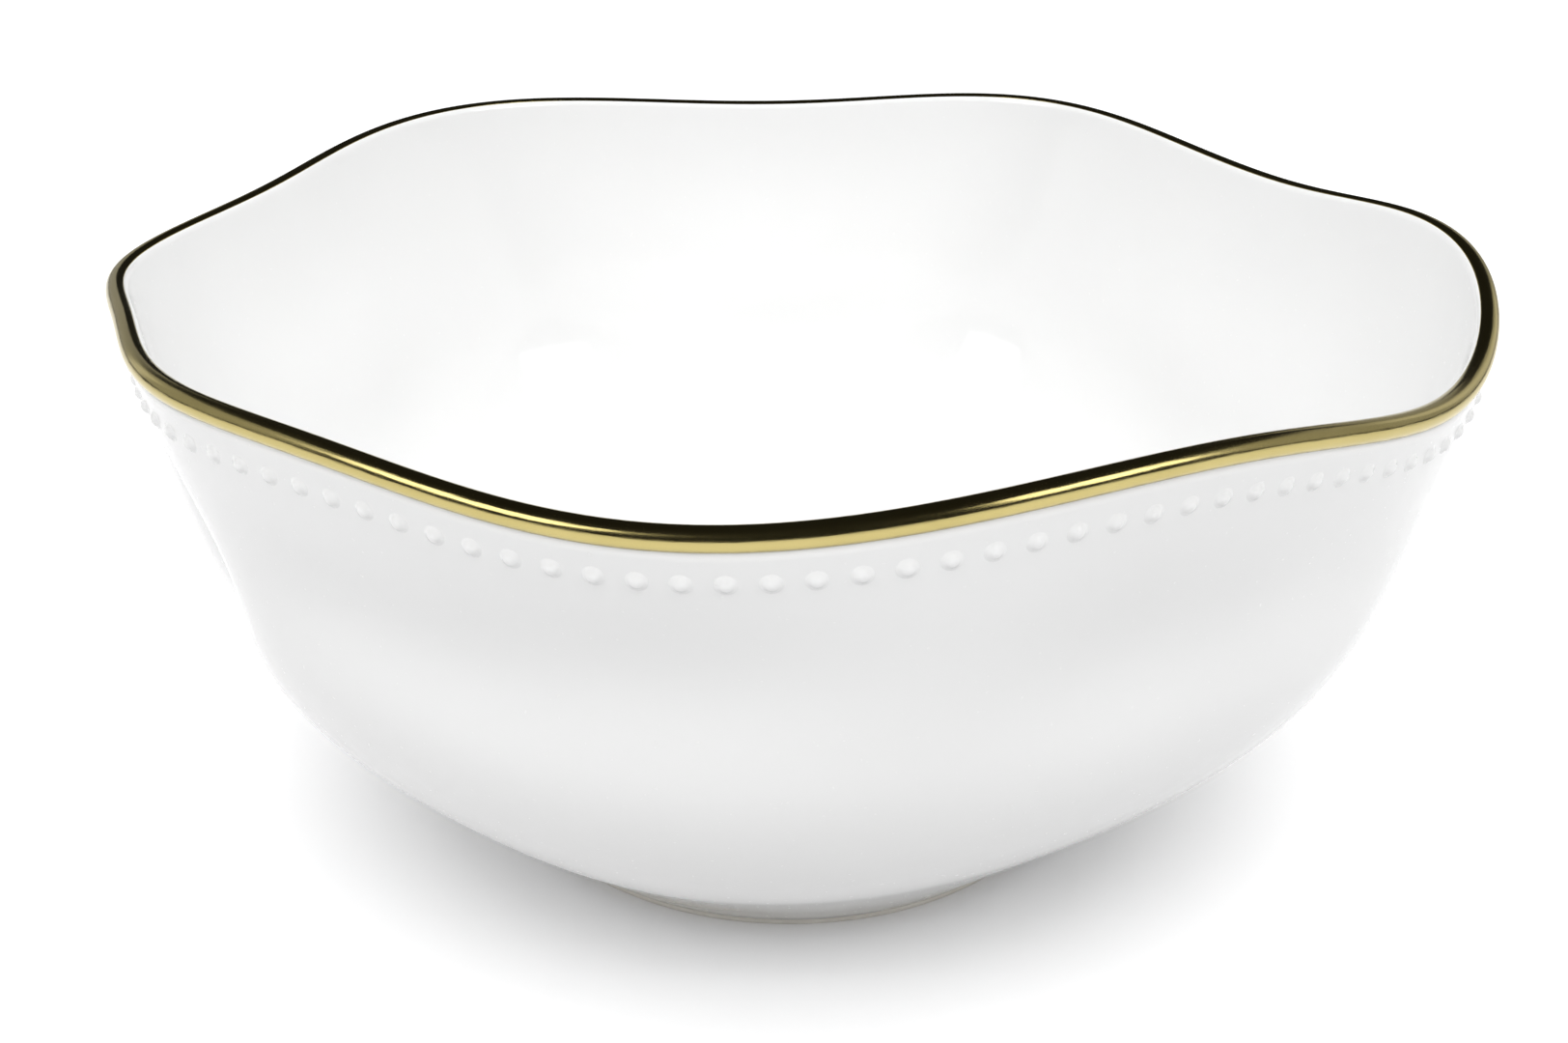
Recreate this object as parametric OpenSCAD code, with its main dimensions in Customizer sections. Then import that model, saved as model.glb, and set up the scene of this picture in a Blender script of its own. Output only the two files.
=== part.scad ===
// Porcelain serving bowl: a wavy lobed rim, rolled over and plated with gold, a row of
// small raised beads under it, soft pressed dents in the side wall and a low unglazed foot.
// Millimetres. The origin is the middle of the foot, on the table, and +Z points up.

/* [Bowl] */
// Radius of the rolled rim where no lobe carries it outwards
rim_radius = 132; // [120:1:165]
// Height of the rolled rim above the table where no lobe lifts it
rim_height = 137; // [114:1:168]
// Lean of the side wall away from upright, in degrees
wall_lean = 8; // [5:1:13]
// Radius of the belly between the side wall and the underside
belly_radius = 81; // [65:1:98]
// Rise of the underside from the foot to the belly, in degrees
underside_rise = 44; // [40:1:48]
// Thickness of the wall, with its glaze
wall = 4.2; // [3.6:0.1:5.5]
// Thickness of the floor above the foot, with its glaze
floor_thickness = 5; // [4:0.1:8]
// Radius of the curve from the floor up to the wall, inside
floor_curve = 45; // [20:1:54]

/* [Lobes and dents] */
// How far the main lobe carries the rim outwards
lobe_reach = 16; // [0:0.5:22]
// How far the main wave of the rim rises or dips
lobe_lift = 12; // [0:0.5:15]
// Depth of the deepest dent pressed into the side wall
dent_depth = 9; // [0:0.5:11]

/* [Rim] */
// How far the rolled edge bulges out past the wall under it
roll_bulge = 0.7; // [0.3:0.05:1.5]
// How far round the roll the gold reaches on the inside, in degrees
gold_inner_edge = 140; // [110:5:160]

/* [Beads] */
// Number of beads round the bowl
bead_count = 118; // [90:1:150]
// Distance from the roll's centre down the wall to the beads
bead_drop = 8.5; // [6.5:0.1:14]
// Radius of the ball that each bead is a cap of
bead_radius = 1.9; // [1.4:0.1:2.2]
// How far each bead stands out of the wall
bead_relief = 1.0; // [0.7:0.1:1.6]

/* [Foot] */
// Radius of the body where the underside meets the foot
foot_radius = 70; // [58:1:84]
// Width of the ring that the bowl stands on
foot_width = 6; // [4:0.5:9]
// Height of the ring that the bowl stands on
foot_height = 2; // [1.5:0.1:3]

/* [Coats] */
// Thickness of the glaze and of the gold layer
coat = 0.35; // [0.3:0.05:0.5]

/* [Hidden] */

porcelain_colour = [0.93, 0.93, 0.91];
biscuit_colour = [0.86, 0.83, 0.77];
glaze_colour = [0.98, 0.98, 0.98];
gold_colour = [0.80, 0.66, 0.34];

// The lobes of the rim: bearing in degrees, share of lobe_reach, share of lobe_lift
// (negative where the rim dips), and spread in degrees.
LOBES = [
    [-100.5, 0.12, -0.74, 20.5],
    [-23, 0.9, -0.99, 16.5],
    [-4, 0.64, 0.76, 12],
    [61.5, 1.0, 0.3, 15],
    [129, 1.03, 0.36, 18],
    [181.5, 1.02, -0.22, 10.5],
    [209.5, 0.72, -0.16, 13]
];

// The dents of the wall: bearing in degrees, share of rim_height, spread in degrees,
// half height as a share of rim_height, and share of dent_depth (negative where it bulges).
DENTS = [
    [-102, 0.76, 14, 0.14, 0.45],
    [-121, 0.70, 8, 0.12, 0.33],
    [-133, 0.72, 6, 0.10, 0.25],
    [-157, 0.68, 5.5, 0.15, 1.0],
    [-176, 0.65, 10, 0.22, -0.25],
    [-58, 0.68, 11, 0.15, 0.55],
    [-36, 0.75, 8, 0.12, 0.4],
    [25, 0.64, 12, 0.16, 0.45],
    [92, 0.66, 12, 0.16, 0.5],
    [155, 0.64, 12, 0.16, 0.4]
];

// The lobes start to swell just above the floor.
lobe_foot = foot_height + floor_thickness + 1;
// A power above 1 lets the lobes grow out of the underside without a crease.
lobe_growth = 1.1;

// The bowl is drawn as upright sections, one every few degrees of bearing.
section_count = 72;
section_step = 360 / section_count;

// A section is drawn in a plane, as [distance from the axis, height].
// Outward normals and the upward run of the two straight stretches.
wall_out = [cos(wall_lean), -sin(wall_lean)];
wall_up = [sin(wall_lean), cos(wall_lean)];
under_out = [sin(underside_rise), -cos(underside_rise)];
floor_out = [0, -1];

roll_centre = [rim_radius, rim_height];
foot_corner = [foot_radius, foot_height];
floor_height = foot_height + floor_thickness;

// The roll is as thick as the wall and its bulge together, and lies flush with the wall inside.
roll_radius = (wall + roll_bulge) / 2;

// Distance from the origin to the glazed outer face of each straight stretch.
wall_reach = wall_out * roll_centre + wall - roll_radius;
under_reach = under_out * foot_corner;

// The point where two straight lines cross, each given by its normal and its distance.
function crossing(n1, d1, n2, d2) =
    let (det = n1.x * n2.y - n1.y * n2.x)
    [(d1 * n2.y - d2 * n1.y) / det, (n1.x * d2 - n2.x * d1) / det];

function mix(a, b, share) = a + (b - a) * share;
function arc(centre, radius, angle) = centre + radius * [cos(angle), -sin(angle)];
function sum(v, i = 0) = i < len(v) ? v[i] + sum(v, i + 1) : 0;

belly_centre = crossing(wall_out, wall_reach - belly_radius, under_out, under_reach - belly_radius);

// The inside curve stops before it would use up the whole straight underside.
inner_belly = belly_radius - wall;
inner_corner = crossing(under_out, under_reach - wall, floor_out, -floor_height);
inner_under_run = norm(belly_centre + inner_belly * under_out - inner_corner);
curve_limit = 0.9 * inner_under_run / tan(underside_rise / 2);
curve_radius = min(floor_curve, curve_limit);
curve_centre = crossing(under_out, under_reach - wall - curve_radius, floor_out, -floor_height - curve_radius);

// A station is a pair of points across the coat: the finished face and the clay under it.
// An arc between two bearings of its radius, leaving its last point to what follows.
function arc_stations(centre, face, clay, from, to, count) =
    [for (i = [0:count - 1])
        let (angle = from + (to - from) * i / count)
        [arc(centre, face, angle), arc(centre, clay, angle)]];

function straight_stations(face_a, clay_a, face_b, clay_b, count) =
    [for (i = [0:count - 1]) [mix(face_a, face_b, i / count), mix(clay_a, clay_b, i / count)]];

// Where the outer glaze runs up against the roll, on both sides of the coat.
function under_roll(radius, offset) =
    roll_centre + offset * wall_out - sqrt(radius * radius - offset * offset) * wall_up;
roll_foot_face = under_roll(roll_radius, wall - roll_radius);
roll_foot_clay = under_roll(roll_radius - coat, wall - roll_radius - coat);

function roll_station(angle) =
    let (out = cos(angle) * wall_out + sin(angle) * wall_up)
    [roll_centre + roll_radius * out, roll_centre + (roll_radius - coat) * out];

under_steps = 2;
belly_steps = 6;
wall_steps = 5;
curve_steps = 3;
under_angle = 90 - underside_rise;
foot_clay = [foot_radius - coat / sin(underside_rise), foot_height];

outer_stations = concat(
    straight_stations(foot_corner, foot_clay,
        arc(belly_centre, belly_radius, under_angle),
        arc(belly_centre, belly_radius - coat, under_angle), under_steps),
    arc_stations(belly_centre, belly_radius, belly_radius - coat, under_angle, wall_lean, belly_steps),
    straight_stations(arc(belly_centre, belly_radius, wall_lean),
        arc(belly_centre, belly_radius - coat, wall_lean),
        roll_foot_face, roll_foot_clay, wall_steps),
    [[roll_foot_face, roll_foot_clay]]
);

gold_angles = [-15, 20, 60, 100];
gold_stations = concat(
    [for (angle = gold_angles) roll_station(angle)],
    [roll_station(gold_inner_edge)]
);

inner_stations = concat(
    straight_stations(roll_centre - roll_radius * wall_out, roll_centre - (roll_radius - coat) * wall_out,
        arc(belly_centre, inner_belly, wall_lean),
        arc(belly_centre, inner_belly + coat, wall_lean), wall_steps),
    arc_stations(belly_centre, inner_belly, inner_belly + coat, wall_lean, under_angle, belly_steps),
    straight_stations(arc(belly_centre, inner_belly, under_angle),
        arc(belly_centre, inner_belly + coat, under_angle),
        arc(curve_centre, curve_radius, under_angle),
        arc(curve_centre, curve_radius + coat, under_angle), 1),
    arc_stations(curve_centre, curve_radius, curve_radius + coat, under_angle, 90, curve_steps),
    [[arc(curve_centre, curve_radius, 90), arc(curve_centre, curve_radius + coat, 90)]]
);

stations = concat(outer_stations, gold_stations, inner_stations);
gold_first = len(outer_stations) - 1;
gold_last = gold_first + len(gold_stations);
last_station = len(stations) - 1;

// A soft swelling round the bowl that is 1 at its own bearing and fades away beside it.
function swell(bearing, at, spread) = exp((cos(bearing - at) - 1) / pow(spread * PI / 180, 2));

function lobe_push(bearing) =
    lobe_reach * sum([for (lobe = LOBES) lobe[1] * swell(bearing, lobe[0], lobe[3])]);

function lobe_rise(bearing) =
    lobe_lift * sum([for (lobe = LOBES) lobe[2] * swell(bearing, lobe[0], lobe[3])]);

function lobe_share(height) =
    let (climb = (height - lobe_foot) / (rim_height - lobe_foot))
    pow(sin(90 * max(0, min(1, climb))), lobe_growth);

function dent_push(bearing, height) =
    dent_depth * sum([for (dent = DENTS)
        dent[4] * swell(bearing, dent[0], dent[2]) * exp(-pow((height / rim_height - dent[1]) / dent[3], 2))]);

// Carries a section point to its place on the bowl. The finished face drives the push,
// so that a coat and the clay under it move together.
function place(point, face, bearing) =
    let (share = lobe_share(face.y),
         radius = point.x + lobe_push(bearing) * share - dent_push(bearing, face.y))
    [radius * cos(bearing), radius * sin(bearing), point.y + lobe_rise(bearing) * share];

function face_ring(k) =
    [for (i = [0:section_count - 1]) place(stations[k][0], stations[k][0], i * section_step)];
function clay_ring(k) =
    [for (i = [0:section_count - 1]) place(stations[k][1], stations[k][0], i * section_step)];

// Joins ring number a to ring number b with two triangles for each section.
function band(a, b) =
    [for (i = [0:section_count - 1])
        let (j = (i + 1) % section_count,
             a0 = a * section_count + i, a1 = a * section_count + j,
             b0 = b * section_count + i, b1 = b * section_count + j)
        each a < b ? [[a0, b1, a1], [a0, b0, b1]] : [[a0, b0, a1], [a1, b0, b1]]];

// A coat over stations first to last: the finished face on one side, the clay on the other.
module coat_skin(first, last) {
    count = last - first + 1;
    rings = concat(
        [for (k = [first:last]) face_ring(k)],
        [for (k = [first:last]) clay_ring(k)]
    );
    faces = concat(
        [for (k = [0:count - 2]) each band(k, k + 1)],
        [for (k = [0:count - 2]) each band(count + k + 1, count + k)],
        band(count, 0),
        band(count - 1, 2 * count - 1)
    );
    polyhedron(points = [for (ring = rings) each ring], faces = faces);
}

// The clay shell: flat under the foot, up the outside, over the roll and down to the floor.
module porcelain_body() {
    rings = [for (k = [0:last_station]) each clay_ring(k)];
    under_pole = len(rings);
    floor_pole = under_pole + 1;
    poles = [[0, 0, foot_height], [0, 0, floor_height - coat]];
    faces = concat(
        [for (k = [0:last_station - 1]) each band(k, k + 1)],
        [for (i = [0:section_count - 1]) [under_pole, i, (i + 1) % section_count]],
        [for (i = [0:section_count - 1])
            let (ring = last_station * section_count)
            [floor_pole, ring + (i + 1) % section_count, ring + i]]
    );
    color(porcelain_colour) polyhedron(points = concat(rings, poles), faces = faces);
}

// The glaze outside, from the foot up to the gold.
module outer_glaze() {
    color(glaze_colour) coat_skin(0, gold_first);
}

// The gold over the rolled edge.
module gold_rim() {
    color(gold_colour) coat_skin(gold_first, gold_last);
}

// The glaze inside, from the gold down and across the whole floor.
module inner_glaze() {
    first = gold_last;
    count = last_station - first + 1;
    rings = concat(
        [for (k = [first:last_station]) each face_ring(k)],
        [for (k = [first:last_station]) each clay_ring(k)]
    );
    face_pole = len(rings);
    clay_pole = face_pole + 1;
    poles = [[0, 0, floor_height], [0, 0, floor_height - coat]];
    face_edge = (count - 1) * section_count;
    clay_edge = (2 * count - 1) * section_count;
    faces = concat(
        [for (k = [0:count - 2]) each band(k, k + 1)],
        [for (k = [0:count - 2]) each band(count + k + 1, count + k)],
        band(count, 0),
        [for (i = [0:section_count - 1])
            [face_pole, face_edge + (i + 1) % section_count, face_edge + i]],
        [for (i = [0:section_count - 1])
            [clay_pole, clay_edge + i, clay_edge + (i + 1) % section_count]]
    );
    color(glaze_colour) polyhedron(points = concat(rings, poles), faces = faces);
}

// The ring that the bowl stands on, left bare of glaze. A round shape, so it is turned.
foot_clearance = 0.2;
ring_outer = foot_clay.x * cos(section_step / 2) - foot_clearance;
ring_inner = ring_outer - foot_width;
foot_edge = 0.5;
module foot_ring() {
    color(biscuit_colour) rotate_extrude($fn = 120)
        polygon([
            [ring_inner + foot_edge, 0],
            [ring_outer - foot_edge, 0],
            [ring_outer, foot_edge],
            [ring_outer, foot_height],
            [ring_inner, foot_height],
            [ring_inner, foot_edge]
        ]);
}

// The glaze pooled under the bowl, inside the ring.
module base_glaze() {
    color(glaze_colour) translate([0, 0, foot_height - coat])
        cylinder(h = coat, r = ring_inner - foot_clearance, $fn = 120);
}

// Each bead is the cap of a ball, set on the outer glaze and square to the wall there.
bead_seat = 0.3;
bead_probe = 1;
module bead() {
    intersection() {
        translate([0, 0, bead_relief - bead_radius]) sphere(r = bead_radius, $fn = 32);
        translate([-bead_radius, -bead_radius, -bead_seat])
            cube([2 * bead_radius, 2 * bead_radius, bead_relief + 2 * bead_seat]);
    }
}

bead_line = roll_centre + (wall - roll_radius) * wall_out - bead_drop * wall_up;
function bead_seat_at(bearing) = place(bead_line, bead_line, bearing);

// The beads are an equal walk apart along the wavy wall, so the walk is measured in short
// steps first, as pairs of [length so far, bearing].
walk_step = 1;
function walk_stride(bearing) = norm(bead_seat_at(bearing + walk_step) - bead_seat_at(bearing));
walk = [for (gone = 0, bearing = 0; bearing <= 360; gone = gone + walk_stride(bearing),
    bearing = bearing + walk_step) [gone, bearing]];
walk_length = walk[len(walk) - 1][0];

module bead_row() {
    above = bead_line + bead_probe * wall_up;
    below = bead_line - bead_probe * wall_up;
    color(glaze_colour) for (i = [0:bead_count - 1]) {
        bearing = lookup(i * walk_length / bead_count, walk);
        along = bead_seat_at(bearing + bead_probe) - bead_seat_at(bearing - bead_probe);
        upwards = place(above, above, bearing) - place(below, below, bearing);
        out = cross(along, upwards) / norm(cross(along, upwards));
        translate(bead_seat_at(bearing)) rotate([0, acos(out.z), atan2(out.y, out.x)]) bead();
    }
}

porcelain_body();
foot_ring();
outer_glaze();
inner_glaze();
base_glaze();
gold_rim();
bead_row();
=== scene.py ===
# %% [markdown]
# # A porcelain serving bowl
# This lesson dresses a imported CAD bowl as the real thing: glossy white porcelain with a lobed
# rim that is rolled over and plated with gold, a row of small raised beads under it, soft
# pressed dents in the wall, and a bare ground foot. The CAD model is loaded first. It fixes
# where everything is, so each piece here is made in its place, in metres.

# %% Load the frame
import functools
import itertools
import math

import bmesh
import bpy
import mathutils
import numpy
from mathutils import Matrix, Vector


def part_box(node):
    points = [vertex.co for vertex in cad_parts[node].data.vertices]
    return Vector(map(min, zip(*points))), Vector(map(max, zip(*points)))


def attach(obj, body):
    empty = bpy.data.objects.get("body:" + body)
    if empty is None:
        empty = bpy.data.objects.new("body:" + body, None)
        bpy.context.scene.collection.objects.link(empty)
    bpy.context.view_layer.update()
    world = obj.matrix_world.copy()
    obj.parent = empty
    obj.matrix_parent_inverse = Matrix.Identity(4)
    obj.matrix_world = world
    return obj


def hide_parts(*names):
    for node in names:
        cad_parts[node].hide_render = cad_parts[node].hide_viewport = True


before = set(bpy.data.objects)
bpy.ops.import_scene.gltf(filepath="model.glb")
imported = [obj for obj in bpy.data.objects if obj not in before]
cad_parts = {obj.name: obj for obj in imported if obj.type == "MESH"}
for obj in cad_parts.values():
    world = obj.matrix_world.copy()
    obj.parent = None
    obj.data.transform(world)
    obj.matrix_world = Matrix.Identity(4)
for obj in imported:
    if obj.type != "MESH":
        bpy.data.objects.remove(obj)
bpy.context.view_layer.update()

# %% [markdown]
# ## The sizes that shape the bowl
# A potter would give a bowl like this by its side profile and by where the rim was pushed out
# and the wall pressed in. These are the CAD model's own driving sizes, in millimetres, and
# the rest is worked out from them, so the smooth surface here lies on the faceted one there.

# %% Driving sizes
MM = 0.001
rim_radius = 132
rim_height = 137
wall_lean = math.radians(8)
belly_radius = 81
underside_rise = math.radians(44)
wall = 4.2
floor_thickness = 5
floor_curve = 45
lobe_reach = 16
lobe_lift = 12
dent_depth = 9
roll_bulge = 0.7
roll_radius = (wall + roll_bulge) / 2
gold_inner_edge = 140
bead_count = 118
bead_drop = 8.5
bead_radius = 1.9
bead_relief = 1.0
foot_radius = 70
foot_width = 6
foot_height = 2
coat = 0.35

# Each lobe of the rim: bearing in degrees, share of lobe_reach, share of lobe_lift (negative
# where the rim dips), spread in degrees.
LOBES = [
    (-100.5, 0.12, -0.74, 20.5),
    (-23, 0.9, -0.99, 16.5),
    (-4, 0.64, 0.76, 12),
    (61.5, 1.0, 0.3, 15),
    (129, 1.03, 0.36, 18),
    (181.5, 1.02, -0.22, 10.5),
    (209.5, 0.72, -0.16, 13),
]

# Each dent of the wall: bearing in degrees, share of rim_height, spread in degrees,
# half height as a share of rim_height, share of dent_depth (negative where it bulges out).
DENTS = [
    (-102, 0.76, 14, 0.14, 0.45),
    (-121, 0.70, 8, 0.12, 0.33),
    (-133, 0.72, 6, 0.10, 0.25),
    (-157, 0.68, 5.5, 0.15, 1.0),
    (-176, 0.65, 10, 0.22, -0.25),
    (-58, 0.68, 11, 0.15, 0.55),
    (-36, 0.75, 8, 0.12, 0.4),
    (25, 0.64, 12, 0.16, 0.45),
    (92, 0.66, 12, 0.16, 0.5),
    (155, 0.64, 12, 0.16, 0.4),
]
lobe_foot = foot_height + floor_thickness + 1
lobe_growth = 1.1
print("the bowl has", len(LOBES), "lobes and", len(DENTS), "dents")

# %% [markdown]
# ## The side profile
# The profile is two straight stretches, a side wall and an underside, joined by a round belly.
# Working with each line's outward normal makes parallel faces easy: the inside of the wall is
# the same construction with a smaller distance. Points are [distance from the axis, height].

# %% Lines and arcs of the profile
Point = mathutils.Vector
wall_out = Point((math.cos(wall_lean), -math.sin(wall_lean)))
wall_up = Point((math.sin(wall_lean), math.cos(wall_lean)))
under_out = Point((math.sin(underside_rise), -math.cos(underside_rise)))
floor_out = Point((0, -1))
roll_centre = Point((rim_radius, rim_height))
floor_height = foot_height + floor_thickness
wall_reach = wall_out.dot(roll_centre) + wall - roll_radius
under_reach = under_out.dot(Point((foot_radius, foot_height)))
under_angle = math.pi / 2 - underside_rise


def crossing(n1, d1, n2, d2):
    """The point where two lines cross, each given by its normal and its distance."""
    det = n1.x * n2.y - n1.y * n2.x
    return Point(((d1 * n2.y - d2 * n1.y) / det, (n1.x * d2 - n2.x * d1) / det))


def arc(centre, radius, start, end, count):
    """Points along an arc, leaving the last one to what follows."""
    angles = [start + (end - start) * i / count for i in range(count)]
    return [centre + radius * Point((math.cos(a), -math.sin(a))) for a in angles]


def run(start, end, count):
    """Points along a straight stretch, leaving the last one to what follows."""
    return [start.lerp(end, i / count) for i in range(count)]


belly_centre = crossing(wall_out, wall_reach - belly_radius, under_out, under_reach - belly_radius)
print("centre of the belly's curve in mm:", tuple(round(v, 1) for v in belly_centre))

# %% The outside, inside and rim profiles
CURVE_SHARE = 0.9  # the floor's curve takes up no more than this much of the straight underside


def under_roll(radius, offset):
    """Where a face that lies this far outside the roll's centre meets the roll from below."""
    return roll_centre + offset * wall_out - math.sqrt(radius**2 - offset**2) * wall_up


def outside(depth):
    """The profile from foot to roll, this deep under the finished outer face."""
    foot = Point((foot_radius - depth / math.sin(underside_rise), foot_height))
    bend = belly_radius - depth
    top = under_roll(roll_radius - depth, wall - roll_radius - depth)
    return (
        run(foot, belly_centre + bend * under_out, count=10)
        + arc(belly_centre, bend, under_angle, wall_lean, count=22)
        + run(belly_centre + bend * wall_out, top, count=26)
        + [top]
    )


def inside(depth):
    """The profile from the roll down to the middle of the floor, this deep under the glaze."""
    bend = belly_radius - wall + depth
    corner = crossing(under_out, under_reach - wall, floor_out, -floor_height)
    straight = (belly_centre + (belly_radius - wall) * under_out - corner).length
    curve = min(floor_curve, CURVE_SHARE * straight / math.tan(underside_rise / 2))
    curve_centre = crossing(under_out, under_reach - wall - curve, floor_out, -floor_height - curve)
    top = roll_centre - (roll_radius - depth) * wall_out
    curve_top = curve_centre + (curve + depth) * under_out
    floor_edge = Point((curve_centre.x, floor_height - depth))
    floor_middle = Point((0, floor_height - depth))
    return (
        run(top, belly_centre + bend * wall_out, count=24)
        + arc(belly_centre, bend, wall_lean, under_angle, count=20)
        + run(belly_centre + bend * under_out, curve_top, count=3)
        + arc(curve_centre, curve + depth, under_angle, math.pi / 2, count=14)
        + run(floor_edge, floor_middle, count=8)
        + [floor_middle]
    )


def over_roll(radius, start, end, count):
    """Points round the roll, from below its outside, over the top, to its inside."""
    angles = [math.radians(start + (end - start) * i / count) for i in range(count + 1)]
    return [
        roll_centre + radius * (math.cos(a) * wall_out + math.sin(a) * wall_up) for a in angles
    ]


# Where each skin begins and ends round the roll, in degrees up from its outermost point.
roll_start = -math.degrees(math.acos((wall - roll_radius) / roll_radius))
clay_start = -math.degrees(math.acos((wall - roll_radius - coat) / (roll_radius - coat)))
roll_end = 180
print("profile points outside:", len(outside(0)), "inside:", len(inside(0)))

# %% [markdown]
# ## Pushing the round bowl into its lobes
# The real bowl is shaped while soft: the round form is eased outwards in a few places and
# pressed with a thumb in others. So each piece is first spun as a round form, and then its
# vertices are moved by the same two rules as in CAD: lobes, which grow towards the rim, and dents.

# %% Lobes and dents
LEAST_PULL = 1e-4  # a dent that moves the wall less than this here is left out


def swell(bearing, at, spread):
    """1 at its own bearing, fading away smoothly on both sides."""
    return math.exp((math.cos(bearing - math.radians(at)) - 1) / math.radians(spread) ** 2)


@functools.lru_cache(maxsize=None)
def lobe_push(bearing):
    """How far the lobes push the rim out at this bearing."""
    return lobe_reach * sum(out * swell(bearing, at, spread) for at, out, up, spread in LOBES)


@functools.lru_cache(maxsize=None)
def lobe_rise(bearing):
    """How far the lobes lift the rim at this bearing."""
    return lobe_lift * sum(up * swell(bearing, at, spread) for at, out, up, spread in LOBES)


def lobe_share(height):
    """How much of the rim's push and lift is felt at this height."""
    climb = (height - lobe_foot) / (rim_height - lobe_foot)
    return math.sin(math.pi / 2 * max(0, min(1, climb))) ** lobe_growth


@functools.lru_cache(maxsize=None)
def dents_at(bearing):
    """The dents that reach this bearing: their pull, level and half height."""
    pulls = [
        (dent_depth * share * swell(bearing, at, spread), centre, tall)
        for at, centre, spread, tall, share in DENTS
    ]
    return [dent for dent in pulls if abs(dent[0]) > LEAST_PULL]


def dent_push(bearing, height):
    """How far the dents press the wall in at this bearing and height."""
    level = height / rim_height
    return sum(
        pull * math.exp(-(((level - centre) / tall) ** 2)) for pull, centre, tall in dents_at(bearing)
    )


def place(radius, height, bearing):
    """Where a point of the round form ends up on the shaped bowl, in millimetres."""
    share = lobe_share(height)
    pushed = radius + lobe_push(bearing) * share - dent_push(bearing, height)
    risen = height + lobe_rise(bearing) * share
    return Point((pushed * math.cos(bearing), pushed * math.sin(bearing), risen))


print("rim's furthest lobe in mm:", round(max(lobe_push(math.radians(b)) for b in range(360)), 1))

# %% [markdown]
# ## From a profile to a finished piece
# A spin turns a profile into a round skin in one step, with the seam merged. A smooth
# surface needs many steps, because gloss shows every flat. The bearing and the place along the
# profile are kept in a UV map, so that a finish can follow the rim round.

# %% Spin
SPIN_STEPS = 360
SAME_PLACE = 1e-4  # points nearer than this, in millimetres, are one


def spin_profile(points, closed, steps=SPIN_STEPS):
    """A bmesh of the round form that this profile draws about the upright axis."""
    bm = bmesh.new()
    corners = [bm.verts.new((p.x, 0, p.y)) for p in points]
    edges = [bm.edges.new(pair) for pair in zip(corners, corners[1:])]
    if closed:
        edges.append(bm.edges.new((corners[-1], corners[0])))
    bmesh.ops.spin(
        bm,
        geom=corners + edges,
        cent=(0, 0, 0),
        axis=(0, 0, 1),
        angle=2 * math.pi,
        steps=steps,
        use_merge=True,
    )
    bmesh.ops.remove_doubles(bm, verts=bm.verts, dist=SAME_PLACE)
    bmesh.ops.recalc_face_normals(bm, faces=bm.faces)
    return bm


# %% Shape
def shape(bm):
    """Moves a round form, in millimetres, to its place on the shaped bowl, in metres."""
    for vert in bm.verts:
        x, y, z = vert.co
        vert.co = place(math.hypot(x, y), z, round(math.atan2(y, x), 6)) * MM


# %% Map the rim
def add_rim_map(bm):
    """A UV map that runs from 0 to 1 round the bowl, and by turns up and over the roll."""
    layer = bm.loops.layers.uv.new("rim")
    for face in bm.faces:
        middle = math.atan2(*face.calc_center_median().yx)
        for loop in face.loops:
            x, y, z = loop.vert.co
            turn = math.atan2(y, x)
            turn += 2 * math.pi * round((middle - turn) / (2 * math.pi))
            tip = math.atan2(z - rim_height, math.hypot(x, y) - rim_radius)
            loop[layer].uv = (turn / (2 * math.pi), tip / (2 * math.pi))


# %% Finish a piece
def finish_piece(bm, name, replaces, material):
    """Makes the object, gives it its finish, hangs it on the root and hides the CAD parts that it
    replaces.
    """
    mesh = bpy.data.meshes.new(name)
    bm.to_mesh(mesh)
    bm.free()
    mesh.polygons.foreach_set("use_smooth", [True] * len(mesh.polygons))
    mesh.materials.append(material)
    piece = bpy.data.objects.new(name, mesh)
    bpy.context.collection.objects.link(piece)
    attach(piece, "root")
    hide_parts(*replaces)
    print(name, "has", len(mesh.polygons), "faces")


# %% [markdown]
# ## Writing a finish as sums
# A shader is arithmetic on patterns. A small class wraps a socket so that an expression such as
# 0.1 + 0.05 * cloud adds the Math nodes itself, which keeps each finish short enough to read.

# %% Shader arithmetic
class Value:
    """A socket that can be used in sums."""

    def __init__(self, finish, socket):
        self.finish = finish
        self.socket = socket

    def sum(self, operation, first, second):
        return self.finish.node("ShaderNodeMath", {"operation": operation}, {0: first, 1: second})

    def __add__(self, other):
        return self.sum("ADD", self, other)

    def __sub__(self, other):
        return self.sum("SUBTRACT", self, other)

    def __mul__(self, other):
        return self.sum("MULTIPLY", self, other)

    def __rsub__(self, other):
        return self.sum("SUBTRACT", other, self)

    def __gt__(self, other):
        return self.sum("GREATER_THAN", self, other)

    __radd__ = __add__
    __rmul__ = __mul__


# %% A finish and its nodes
# A Mix node has its own sockets for each kind of data: these are the ones for colour.
MIX_SHARE, MIX_FIRST, MIX_SECOND = 0, 6, 7
MIX_RESULT = 2


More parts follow.
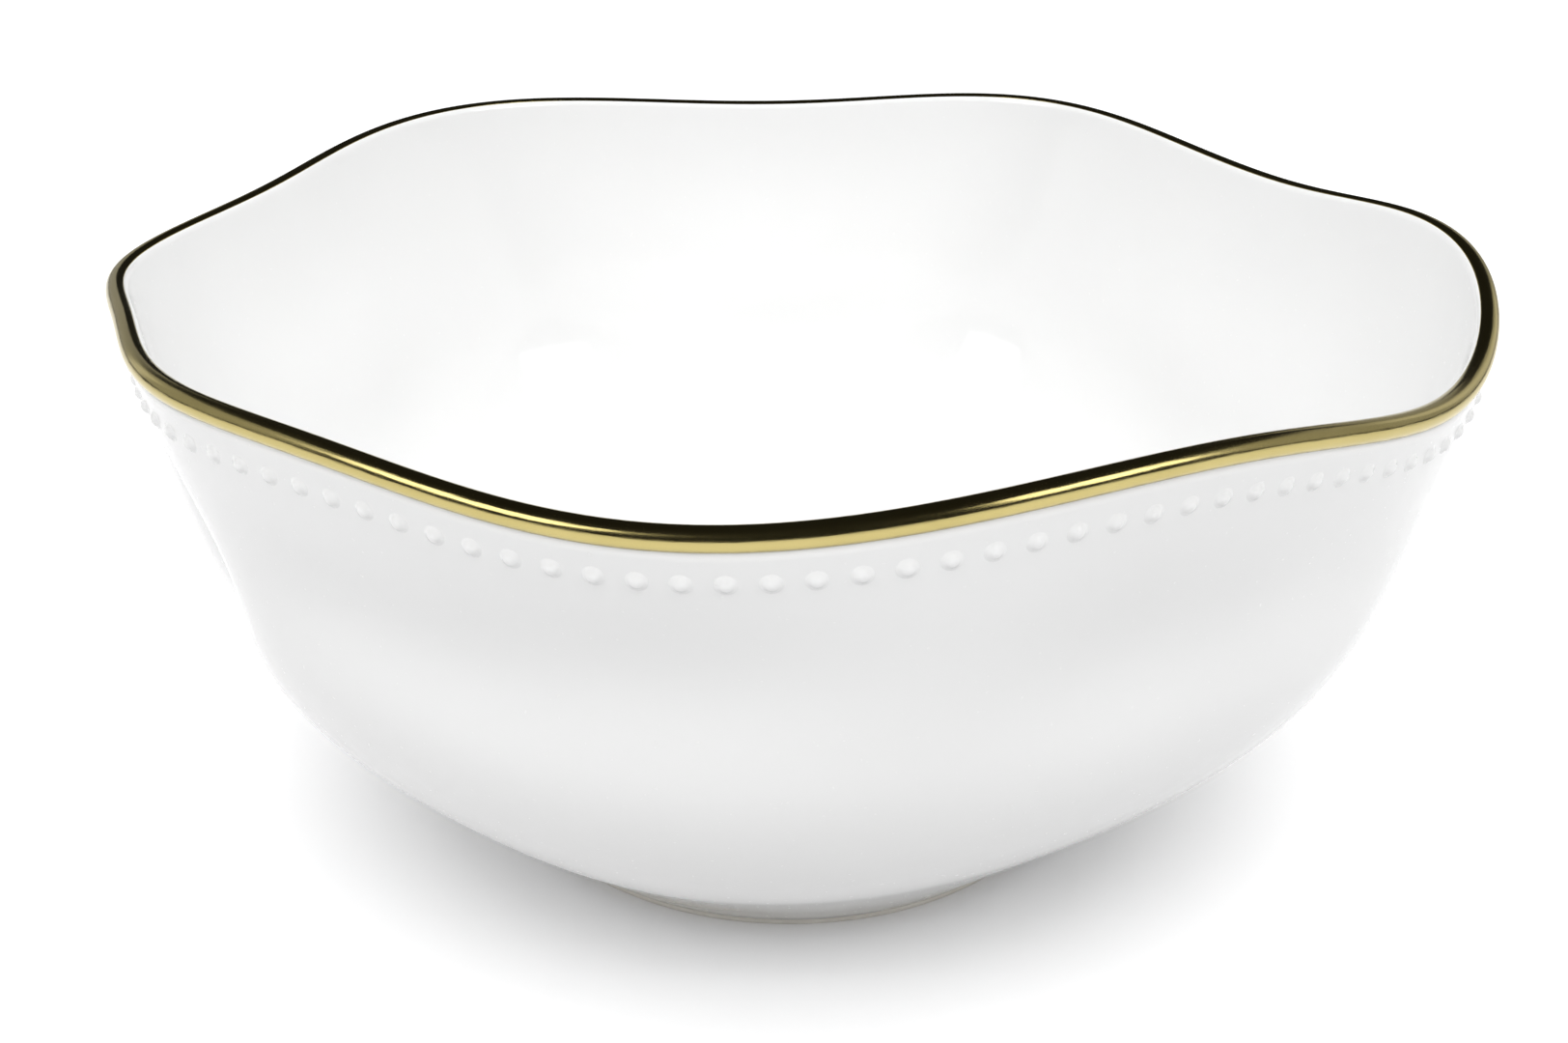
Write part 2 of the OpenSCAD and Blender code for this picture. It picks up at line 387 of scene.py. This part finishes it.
class Finish:
    """A material under construction."""

    def __init__(self, name):
        self.material = bpy.data.materials.new(name)
        self.material.use_nodes = True
        self.tree = self.material.node_tree
        self.shader = self.tree.nodes["Principled BSDF"]

    def feed(self, socket, value):
        """Links a Value to this socket, or sets it to a number or colour."""
        if isinstance(value, Value):
            self.tree.links.new(value.socket, socket)
        else:
            socket.default_value = value

    def node(self, kind, settings, inputs, output=0):
        """Adds a node: its settings first, then the values or links of its sockets."""
        made = self.tree.nodes.new(kind)
        for key, value in settings.items():
            setattr(made, key, value)
        for key, value in inputs.items():
            self.feed(made.inputs[key], value)
        return Value(self, made.outputs[output])

    def place(self, output):
        """Where each point is, on the object or on its UV map."""
        return self.node("ShaderNodeTexCoord", {}, {}, output)

    def noise(self, where, scale, detail):
        inputs = {"Vector": where, "Scale": scale, "Detail": detail}
        return self.node("ShaderNodeTexNoise", {}, inputs, "Fac")

    def stretch(self, where, scale):
        return self.node("ShaderNodeMapping", {}, {"Vector": where, "Scale": scale})

    def blend(self, share, first, second):
        """From the first colour to the second as the share goes from 0 to 1."""
        inputs = {MIX_SHARE: share, MIX_FIRST: first, MIX_SECOND: second}
        return self.node("ShaderNodeMix", {"data_type": "RGBA"}, inputs, MIX_RESULT)

    def bump(self, height, distance):
        return self.node("ShaderNodeBump", {}, {"Height": height, "Distance": distance}, "Normal")

    def paint(self, **inputs):
        """Feeds the shader's sockets and gives the finished material."""
        for key, value in inputs.items():
            self.feed(self.shader.inputs[key.replace("_", " ")], value)
        print(self.material.name, "has", len(self.tree.nodes), "nodes")
        return self.material


# %% [markdown]
# ## The glaze
# Porcelain glaze is clear glass over a white body. It is never perfectly even: it carries a
# faint cloudiness, a slow ripple from the brush or dip, a very fine orange peel and the odd
# pinhole. All of that is far below a millimetre, so it goes into bump and roughness.

# %% Glaze finish
PINHOLE_LEVEL = 0.83  # the nearer to 1, the fewer pinholes
FINE_RELIEF = 0.00002  # metres, on glaze and gold


def make_glaze():
    finish = Finish("white_glaze")
    where = finish.place("Object")
    cloud = finish.noise(where, scale=14, detail=3)
    peel = finish.noise(where, scale=900, detail=1)
    ripple = finish.noise(where, scale=55, detail=1)
    pits = finish.noise(where, scale=1400, detail=0) > PINHOLE_LEVEL
    colour = finish.blend(cloud, (0.83, 0.83, 0.826, 1), (0.86, 0.862, 0.86, 1))
    height = 0.25 * peel + ripple - 1.5 * pits
    return finish.paint(
        Base_Color=colour,
        Roughness=0.06 + 0.05 * cloud + 0.3 * pits,
        Normal=finish.bump(height, FINE_RELIEF),
        IOR=1.5,
    )


glaze = make_glaze()

# %% [markdown]
# ## The gold
# The gold is painted on the roll with a brush while the bowl turns, and fired. It is bright
# and slightly uneven, with fine streaks that follow the rim, so its pattern reads the rim map.

# %% Gold finish
def make_gold():
    finish = Finish("polished_gold")
    rim_way = finish.place("UV")
    where = finish.place("Object")
    streaks = finish.noise(finish.stretch(rim_way, (160, 55, 1)), scale=1, detail=3)
    smudge = finish.noise(where, scale=60, detail=3)
    colour = finish.blend(smudge, (0.4, 0.33, 0.125, 1), (0.5, 0.42, 0.18, 1))
    return finish.paint(
        Base_Color=colour,
        Metallic=1.0,
        Roughness=0.1 + 0.12 * smudge + 0.05 * streaks,
        Normal=finish.bump(streaks, FINE_RELIEF),
    )


gold = make_gold()

# %% [markdown]
# ## The bare foot and the clay
# The foot is wiped clean of glaze before firing, so that it doesn't stick to the kiln shelf,
# and is then ground flat: matt, a little warmer than the glaze and finely gritty.

# %% Biscuit and clay finishes
GRIT_RELIEF = 0.00004


def make_biscuit(name, light, dark):
    finish = Finish(name)
    where = finish.place("Object")
    grit = finish.noise(where, scale=2200, detail=2)
    stain = finish.noise(where, scale=70, detail=3)
    return finish.paint(
        Base_Color=finish.blend(stain, light, dark),
        Roughness=0.7 + 0.2 * grit,
        Normal=finish.bump(grit, GRIT_RELIEF),
    )


biscuit = make_biscuit("bare_biscuit", (0.8, 0.77, 0.71, 1), (0.7, 0.66, 0.59, 1))
clay = make_biscuit("fired_clay", (0.88, 0.87, 0.84, 1), (0.82, 0.81, 0.78, 1))

# %% [markdown]
# ## The clay shell
# Under the coats lies the body itself, one closed shell from the flat under the foot, up the
# outside, over the roll and down to the middle of the floor. It is spun from the clay side of
# every profile.

# %% Clay shell
clay_profile = (
    [Point((0, foot_height))]
    + outside(coat)[:-1]
    + over_roll(roll_radius - coat, clay_start, roll_end, count=18)[:-1]
    + inside(coat)
)
bm = spin_profile(clay_profile, closed=False)
shape(bm)
finish_piece(bm, "clay_shell", ["porcelain_body"], clay)

# %% [markdown]
# ## The glaze coats
# Each coat is a closed skin: the finished face, and back along the clay under it. The outer
# coat stops at the gold's lower edge, and the inner one begins where the gold ends.

# %% Outer glaze
bm = spin_profile(outside(0) + outside(coat)[::-1], closed=True)
shape(bm)
finish_piece(bm, "outer_coat", ["outer_glaze"], glaze)

# %% Inner glaze
inner_lip = over_roll(roll_radius, gold_inner_edge, roll_end, count=8)[:-1]
inner_face = inner_lip + inside(0)
inner_lip_back = over_roll(roll_radius - coat, gold_inner_edge, roll_end, count=8)[:-1]
inner_back = inner_lip_back + inside(coat)
bm = spin_profile(inner_face + inner_back[::-1], closed=False)
rim_edges = [edge for edge in bm.edges if edge.is_boundary]
bmesh.ops.bridge_loops(bm, edges=rim_edges)
bmesh.ops.recalc_face_normals(bm, faces=bm.faces)
shape(bm)
finish_piece(bm, "inner_coat", ["inner_glaze"], glaze)

# %% Glaze under the foot
ring_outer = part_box("foot_ring")[1][0] / MM
ring_inner = ring_outer - foot_width
base_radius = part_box("base_glaze")[1][0] / MM
base_profile = [
    Point((0, foot_height - coat)),
    Point((base_radius - coat, foot_height - coat)),
    Point((base_radius, foot_height - coat / 2)),
    Point((base_radius, foot_height)),
    Point((0, foot_height)),
]
bm = spin_profile(base_profile, closed=False)
shape(bm)
finish_piece(bm, "base_coat", ["base_glaze"], glaze)

# %% [markdown]
# ## The gold edge
# The gold follows the roll from under its outside, over the top and a little way down inside.
# It is spun as a closed skin over the clay, with a UV map made before the form is pushed into
# its lobes, while the roll is still a true circle.

# %% Gold edge
gold_face = over_roll(roll_radius, roll_start, gold_inner_edge, count=30)
gold_back = over_roll(roll_radius - coat, clay_start, gold_inner_edge, count=12)
bm = spin_profile(gold_face + gold_back[::-1], closed=True)
add_rim_map(bm)
shape(bm)
finish_piece(bm, "gold_edge", ["gold_rim"], gold)

# %% [markdown]
# ## The raised beads
# The beads are dots of slip set under the rim an equal walk apart, whatever the wall does, and
# the glaze runs round the foot of each. One low dome with a thin skirt is spun, then copied to
# every place and turned square to the wall there.

# %% One bead
BEAD_SIDES = 14
DOME_ANGLES = (0, 20, 38, 52)
BEAD_SKIRT = [Point((1.72, 0.17)), Point((2.05, 0.02)), Point((2.3, -0.12))]


def bead_profile():
    """From the top of the dome down to a skirt that slips just under the glaze."""
    centre = Point((0, bead_relief - bead_radius))
    angles = [math.radians(degrees) for degrees in DOME_ANGLES]
    dome = [centre + bead_radius * Point((math.sin(a), math.cos(a))) for a in angles]
    return dome + BEAD_SKIRT


bm = spin_profile(bead_profile(), closed=False, steps=BEAD_SIDES)
bmesh.ops.scale(bm, vec=(MM, MM, MM), verts=bm.verts)
one_bead = bpy.data.meshes.new("one_bead")
bm.to_mesh(one_bead)
bm.free()
print("one bead has", len(one_bead.polygons), "faces")

# %% Where the beads go
HALF_STEP = math.radians(0.5)


def wall_frame(bearing, line):
    """The place on the wall and the turn that stands a bead square to it."""
    here = place(line.x, line.y, bearing)
    ahead = place(line.x, line.y, bearing + HALF_STEP)
    behind = place(line.x, line.y, bearing - HALF_STEP)
    high, low = line + wall_up, line - wall_up
    upwards = place(high.x, high.y, bearing) - place(low.x, low.y, bearing)
    out = (ahead - behind).cross(upwards).normalized()
    turn = out.to_track_quat("Z", "X").to_matrix().to_4x4()
    return mathutils.Matrix.Translation(here * MM) @ turn


def equal_walk(line, count):
    """Bearings that are an equal walk apart along the wavy wall."""
    bearings = [math.radians(degree) for degree in range(361)]
    stops = [place(line.x, line.y, bearing) for bearing in bearings]
    strides = [(b - a).length for a, b in zip(stops, stops[1:])]
    gone = [0, *itertools.accumulate(strides)]
    print("walk round the bead line in mm:", round(gone[-1], 1))
    return numpy.interp([i * gone[-1] / count for i in range(count)], gone, bearings)

# %% Place the beads
bead_line = roll_centre + (wall - roll_radius) * wall_out - bead_drop * wall_up
bm = bmesh.new()
for bearing in equal_walk(bead_line, bead_count):
    placed = one_bead.copy()
    placed.transform(wall_frame(bearing, bead_line))
    bm.from_mesh(placed)
    bpy.data.meshes.remove(placed)
bpy.data.meshes.remove(one_bead)
finish_piece(bm, "raised_beads", ["bead_row"], glaze)

# %% [markdown]
# ## The foot ring
# The ring is turned, with its edges softened by grinding, so its section is a small rectangle
# whose two corners on the table are rounded by a bevel once it has been spun.

# %% Foot ring
SHARP = math.radians(60)
NEAR_TABLE = 0.1
foot_edge = 0.5
ring_profile = [
    Point((ring_inner, 0)),
    Point((ring_outer, 0)),
    Point((ring_outer, foot_height)),
    Point((ring_inner, foot_height)),
]
bm = spin_profile(ring_profile, closed=True)
low_edges = [
    edge
    for edge in bm.edges
    if edge.calc_face_angle(0) > SHARP and all(vert.co.z < NEAR_TABLE for vert in edge.verts)
]
bmesh.ops.bevel(
    bm,
    geom=low_edges,
    offset=foot_edge,
    offset_type="OFFSET",
    segments=3,
    profile=0.5,
    affect="EDGES",
    material=-1,
)
shape(bm)
finish_piece(bm, "standing_ring", ["foot_ring"], biscuit)

# %% [markdown]
# ## The camera
# The camera looks down into the bowl from the front, close enough that the near rim is
# much larger than the far one. It stands by numbers, so that every render has the same view.

# %% Camera
LENS = 42.1
FULL_FRAME = 36
camera_place = (-0.0014, -0.4047, 0.2612)
camera_pitch = math.radians(25.5)
camera = bpy.data.cameras.new("camera")
camera.lens = LENS
camera.sensor_width = FULL_FRAME
camera_object = bpy.data.objects.new("camera", camera)
camera_object.location = camera_place
camera_object.rotation_euler = (math.pi / 2 - camera_pitch, 0, 0)
bpy.context.collection.objects.link(camera_object)
bpy.context.scene.camera = camera_object
camera_reach = math.dist(camera_place, (0, 0, rim_height * MM))
print("camera stands", round(camera_reach, 3), "m from the rim's centre")

# %% [markdown]
# ## The table
# A studio table for white ware is lit until it is plain white, while the light that it throws
# up under the bowl is softer than that white would give. So the table is two sheets: the one
# that the camera and the gloss see, and a greyer one just under it, which alone lights the
# bowl. The white one carries painted light, a glow of its own that fades out close to the foot,
# so painted shade deepens the real shadow there.

# %% Table
TABLE_SIZE = 6
SHEET_GAP = 0.001
# Painted light on the white sheet, in metres out from the middle of the foot: no glow inside the
# first distance, which paints shade round the foot, and full glow beyond the second.
PAINTED_LIGHT_STARTS = 0.085  # metres out from the middle of the foot
PAINTED_LIGHT_FULL = 0.16
PAINTED_TABLE_LIGHT = 0.28
NO_PAINTED_LIGHT = (0, 0, 0, 1)
WHITE_PAINTED_LIGHT = (1, 1, 1, 1)


def make_table_finish(name, first, second, glow):
    """Paint for a sheet, whose glow, a painted light, sets in a little way out from the foot and so
    leaves painted shade round it.
    """
    finish = Finish(name)
    where = finish.place("Object")
    cloud = finish.noise(where, scale=3, detail=2)
    away = finish.node("ShaderNodeVectorMath", {"operation": "LENGTH"}, {0: where}, "Value")
    ramp = {"Value": away, "From Min": PAINTED_LIGHT_STARTS, "From Max": PAINTED_LIGHT_FULL}
    lit = finish.node("ShaderNodeMapRange", {}, ramp)
    return finish.paint(
        Base_Color=finish.blend(cloud, first, second),
        Roughness=0.35 + 0.1 * cloud,
        # Painted light: the sheet's own glow, missing close to the foot, where it leaves painted
        # shade.
        Emission_Color=finish.blend(lit, NO_PAINTED_LIGHT, WHITE_PAINTED_LIGHT),
        Emission_Strength=glow,
    )


def add_sheet(name, height, material):
    """A level square sheet at this height."""
    bm = bmesh.new()
    bmesh.ops.create_grid(bm, x_segments=2, y_segments=2, size=TABLE_SIZE / 2)
    bmesh.ops.translate(bm, vec=(0, 0, height), verts=bm.verts)
    mesh = bpy.data.meshes.new(name)
    bm.to_mesh(mesh)
    bm.free()
    mesh.materials.append(material)
    sheet = bpy.data.objects.new(name, mesh)
    bpy.context.collection.objects.link(sheet)
    print(name, "lies at", height, "m")
    return sheet


white = make_table_finish("white_table_painted_light", (0.93, 0.93, 0.935, 1), (0.95, 0.95, 0.95, 1), PAINTED_TABLE_LIGHT)
grey = make_table_finish("grey_table", (0.6, 0.6, 0.605, 1), (0.64, 0.64, 0.64, 1), 0)
table_top = add_sheet("table_top", 0, white)
table_top.visible_diffuse = False
table_top.visible_shadow = False
table_bounce = add_sheet("table_bounce", -SHEET_GAP, grey)
table_bounce.visible_camera = False
table_bounce.visible_glossy = False

# %% [markdown]
# ## The lights
# Gold and glaze show what they mirror. Two softboxes stand left and right in front, with a
# dark gap between them, and large dim cards stand at the sides and behind. Most of the light
# comes from two fills, one overhead and one in front, which light the bowl without being
# mirrored in it.

# %% Lights
def add_light(name, where, aim, size, power, mirrored=True):
    """A rectangle of light, in metres and watts, turned to face its aim."""
    lamp = bpy.data.lights.new(name, "AREA")
    lamp.shape = "RECTANGLE"
    lamp.size, lamp.size_y = size
    lamp.energy = power
    lamp_object = bpy.data.objects.new(name, lamp)
    lamp_object.location = where
    direction = mathutils.Vector(aim) - mathutils.Vector(where)
    lamp_object.rotation_euler = direction.to_track_quat("-Z", "Y").to_euler()
    lamp_object.visible_glossy = mirrored
    bpy.context.collection.objects.link(lamp_object)
    print(name, "gives", power, "W")


bowl_middle = (0, 0, 0.08)
for side, name in ((-1, "left"), (1, "right")):
    add_light(name + "_softbox", (1.1 * side, -0.9, 1.0), bowl_middle, (0.9, 0.7), power=7)
    add_light(name + "_card", (2.0 * side, 0.3, 0.9), bowl_middle, (2.4, 1.4), power=5)
    add_light(name + "_back_card", (1.8 * side, 1.9, 0.75), bowl_middle, (2.0, 1.2), power=3)
add_light("overhead_fill", (0, 1.0, 2.0), (0, 1.0, 0), (5, 5), power=94, mirrored=False)
add_light("front_fill", (0, -1.7, 1.7), bowl_middle, (1.6, 1.2), power=19, mirrored=False)

# %% Backdrop
BACKDROP_GLOW = 0.02
world = bpy.data.worlds.new("studio")
world.use_nodes = True
backdrop = world.node_tree.nodes["Background"]
backdrop.inputs["Color"].default_value = (1, 1, 1, 1)
backdrop.inputs["Strength"].default_value = BACKDROP_GLOW
bpy.context.scene.world = world
bpy.context.scene.view_settings.view_transform = "Standard"
print("backdrop glows at", BACKDROP_GLOW)
